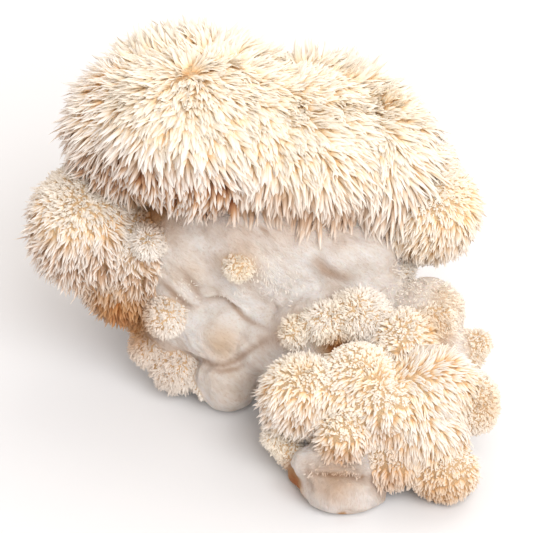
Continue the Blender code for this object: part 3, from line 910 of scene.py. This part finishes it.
def grow_spines(body, material):
    """Covers every maned lobe with spines, one piece for each group of lobes."""
    mesh = body.data
    points, normals = skin_arrays(mesh)
    triangles = np.empty(len(mesh.loop_triangles) * 3, dtype=np.int32)
    mesh.loop_triangles.foreach_get("vertices", triangles)
    triangles = triangles.reshape(-1, 3)
    centres = points[triangles].mean(axis=1)
    owner = lobe_gaps(centres).argmin(axis=1)
    lifted = centres[:, 2] > LOWEST_ROOT * MM
    batches = {}
    for index, lobe in enumerate(LOBES):
        chosen = triangles[(owner == index) & lifted]
        if lobe.spine_length == 0 or len(chosen) == 0:
            continue
        rng = np.random.default_rng(SEED + index)
        crown_name = STYLES[lobe.style]["crown"]
        for name in filter(None, (lobe.style, crown_name)):
            style = STYLES[name]
            roots, root_normals = scattered_roots(rng, points[chosen], normals[chosen], style["spacing"] * MM)
            if crown_name:
                crown_share = smooth_step(*CROWN_FACING, root_normals[:, 2])
                wanted = rng.random(len(roots)) < (crown_share if name == crown_name else 1 - crown_share)
                roots, root_normals = roots[wanted], root_normals[wanted]
            if len(roots):
                batch = SpineBatch(rng, roots, root_normals, lobe.spine_length * MM, style)
                batches.setdefault(lobe.piece, []).append(batch)
    bare = np.array([lobe.spine_length == 0 for lobe in LOBES])[owner] & lifted
    for piece_name, batch in bristle_batches(points, normals, triangles, bare):
        batches[piece_name].append(batch)
    return [joined_spines(name, group, material) for name, group in batches.items()]


# Materials


def add_stains_and_shade(tree, colour):
    """Multiplies a colour by the stains and the painted shade that are stored on the mesh."""
    stain = add_node(tree, "ShaderNodeAttribute", {"attribute_name": "stain"})
    tint = add_node(tree, "ShaderNodeValToRGB", {"stops": STAIN_AND_SHADE_COLOURS}, {"Fac": stain.outputs["Fac"]})
    stained_and_shaded = add_node(tree, "ShaderNodeMix", {"data_type": "RGBA", "blend_type": "MULTIPLY", "Factor": 1.0},
                       {6: colour, 7: tint.outputs["Color"]})
    return stained_and_shaded.outputs[2]


def spine_material():
    """Lion's mane spines, soft and damp: a dull skin, orange brown at the root and cream white at the tip.
    Painted shade makes them darker brown on skin that faces forward or down and along their edges, and the
    table of places adds stains and more painted shade.
    """
    material = bpy.data.materials.new("lions_mane_spine")
    material.use_nodes = True
    tree = material.node_tree
    shader = tree.nodes["Principled BSDF"]
    shader.inputs["Roughness"].default_value = 0.62
    shader.inputs["IOR"].default_value = 1.4
    stored = {name: add_node(tree, "ShaderNodeAttribute", {"attribute_name": name}).outputs["Fac"]
              for name in ("tip_share", "warmth", "tone", "hanging")}
    pale, warm, deep_shade = (add_node(tree, "ShaderNodeValToRGB", {"stops": stops}, {"Fac": stored["tip_share"]})
                        for stops in (PALE_COLOURS, WARM_COLOURS, PAINTED_SHADE_COLOURS))
    # painted shade: spines on skin that faces forward or down take the darker colours
    painted_shade_mix = add_node(tree, "ShaderNodeMix", {"data_type": "RGBA"},
                     {"Factor": stored["hanging"], 6: pale.outputs["Color"], 7: deep_shade.outputs["Color"]})
    colour = add_node(tree, "ShaderNodeMix", {"data_type": "RGBA"},
                      {"Factor": stored["warmth"], 6: painted_shade_mix.outputs[2], 7: warm.outputs["Color"]})
    spread = add_node(tree, "ShaderNodeMapRange", {"To Min": TONES[0], "To Max": TONES[1]},
                      {"Value": stored["tone"]})
    shaded = add_node(tree, "ShaderNodeHueSaturation", {},
                      {"Value": spread.outputs["Result"], "Color": colour.outputs[2]})
    tree.links.new(add_stains_and_shade(tree, shaded.outputs["Color"]), shader.inputs["Base Color"])
    return material


def flesh_material():
    """Bare lion's mane flesh: a felt of fine fibres, matt, cream white with grey-pink and tan clouds, with
    stains and with painted shade in its creases and shaded places.
    """
    material = bpy.data.materials.new("lions_mane_flesh")
    material.use_nodes = True
    tree = material.node_tree
    shader = tree.nodes["Principled BSDF"]
    shader.inputs["Roughness"].default_value = 0.8
    shader.inputs["IOR"].default_value = 1.4
    shader.inputs["Subsurface Weight"].default_value = 0.12
    shader.inputs["Subsurface Radius"].default_value = (1.0, 0.65, 0.4)
    shader.inputs["Subsurface Scale"].default_value = 0.003
    place = add_node(tree, "ShaderNodeTexCoord")
    stored = {name: add_node(tree, "ShaderNodeAttribute", {"attribute_name": name}).outputs["Fac"]
              for name in ("maned", "groove", "warmth", "upright")}
    flow = math.atan2(FLOW_AXES[1][0], FLOW_AXES[0][0])
    turned = add_node(tree, "ShaderNodeMapping", {"Rotation": (0, -flow, 0)},
                      {"Vector": place.outputs["Object"]})
    stretched = add_node(tree, "ShaderNodeMapping", {"Scale": (FLOW_STRETCH, 1, 1)},
                         {"Vector": turned.outputs["Vector"]})
    clouds = add_node(tree, "ShaderNodeTexNoise",
                      {"Scale": 1 / (CLOUD_SIZE * MM), "Detail": 6.0, "Roughness": 0.6},
                      {"Vector": stretched.outputs["Vector"]})
    cream = add_node(tree, "ShaderNodeValToRGB", {"stops": CLOUD_COLOURS}, {"Fac": clouds.outputs["Fac"]})
    tan = add_node(tree, "ShaderNodeMix", {"data_type": "RGBA", 7: linear(TAN_COLOUR)},
                   {"Factor": stored["warmth"], 6: cream.outputs["Color"]})
    # painted shade: the grooves of the folds are darker
    crease_shaded = add_node(tree, "ShaderNodeMix", {"data_type": "RGBA", 7: linear(CREASE_SHADE_COLOUR)},
                       {"Factor": stored["groove"], 6: tan.outputs[2]})
    under_mane = add_node(tree, "ShaderNodeMix", {"data_type": "RGBA", 7: linear(UNDER_MANE_COLOUR)},
                          {"Factor": stored["maned"], 6: crease_shaded.outputs[2]})
    upright = add_node(tree, "ShaderNodeMapping", {"Scale": (1, 1, UPRIGHT_STRETCH)},
                       {"Vector": place.outputs["Object"]})
    grain = add_node(tree, "ShaderNodeMix", {"data_type": "VECTOR"},
                     {"Factor": stored["upright"], 4: stretched.outputs["Vector"],
                      5: upright.outputs["Vector"]})
    fibres = add_node(tree, "ShaderNodeTexNoise",
                      {"Scale": 1 / (FIBRE_SIZE * MM), "Detail": 6.0, "Roughness": 0.75},
                      {"Vector": grain.outputs[1]})
    felt = add_node(tree, "ShaderNodeValToRGB", {"stops": FELT_COLOURS}, {"Fac": fibres.outputs["Fac"]})
    felted = add_node(tree, "ShaderNodeMix", {"data_type": "RGBA", "blend_type": "MULTIPLY", "Factor": 1.0},
                      {6: add_stains_and_shade(tree, under_mane.outputs[2]), 7: felt.outputs["Color"]})
    tree.links.new(felted.outputs[2], shader.inputs["Base Color"])
    bump = add_node(tree, "ShaderNodeBump", {"Strength": 1.0, "Distance": FIBRE_RELIEF * MM},
                    {"Height": fibres.outputs["Fac"]})
    tree.links.new(bump.outputs["Normal"], shader.inputs["Normal"])
    return material


def floor_material():
    """White paper: matt, so it takes soft shadows and shows no gloss."""
    material = bpy.data.materials.new("white_paper")
    material.use_nodes = True
    shader = material.node_tree.nodes["Principled BSDF"]
    shader.inputs["Base Color"].default_value = linear("ECEEF1")
    shader.inputs["Roughness"].default_value = 0.9
    return material


# The studio


def make_floor():
    """The sheet of white paper that the mushroom stands on."""
    bpy.ops.mesh.primitive_plane_add(size=FLOOR_SIZE, location=(0, 0, -FLOOR_DROP))
    floor = bpy.context.object
    floor.name = "floor"
    floor.data.materials.append(floor_material())


def make_lights():
    """Square soft lights that face the mushroom, and a dim, warm white surrounding."""
    for name, place, power, colour in LIGHTS:
        light = bpy.data.lights.new(name, "AREA")
        light.size = LIGHT_SIZE
        light.energy = power
        light.color = linear(colour)[:3]
        lamp = bpy.data.objects.new(name, light)
        lamp.location = place
        lamp.rotation_euler = (Vector(LIGHT_TARGET) - Vector(place)).to_track_quat("-Z", "Y").to_euler()
        bpy.context.scene.collection.objects.link(lamp)
    world = bpy.data.worlds.new("studio")
    world.use_nodes = True
    background = world.node_tree.nodes["Background"]
    background.inputs["Color"].default_value = linear("FFF3EA")
    background.inputs["Strength"].default_value = 0.58
    bpy.context.scene.world = world


def make_camera():
    """The photograph's camera, which looks down on the front."""
    camera = bpy.data.objects.new("camera", bpy.data.cameras.new("camera"))
    camera.data.lens = CAMERA_LENS
    camera.data.sensor_width = CAMERA_SENSOR
    camera.data.clip_start = 0.01
    target = (Vector(CAMERA_TARGET) + Vector(BODY_SHIFT)) * MM
    elevation = math.radians(CAMERA_ELEVATION)
    away = Vector((0, -math.cos(elevation), math.sin(elevation)))
    camera.location = target + away * CAMERA_DISTANCE * MM
    camera.rotation_euler = (-away).to_track_quat("-Z", "Y").to_euler()
    bpy.context.scene.collection.objects.link(camera)
    bpy.context.scene.camera = camera


make_camera()
make_floor()
make_lights()
bpy.context.scene.view_settings.view_transform = "Standard"

flesh = fused_flesh()
cut_at_floor(flesh.data)
sculpt_flesh(flesh)
flesh.data.materials.clear()
flesh.data.materials.append(flesh_material())
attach(flesh, "root")
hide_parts("fruiting_body")
for piece in grow_spines(flesh, spine_material()):
    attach(piece, "root")
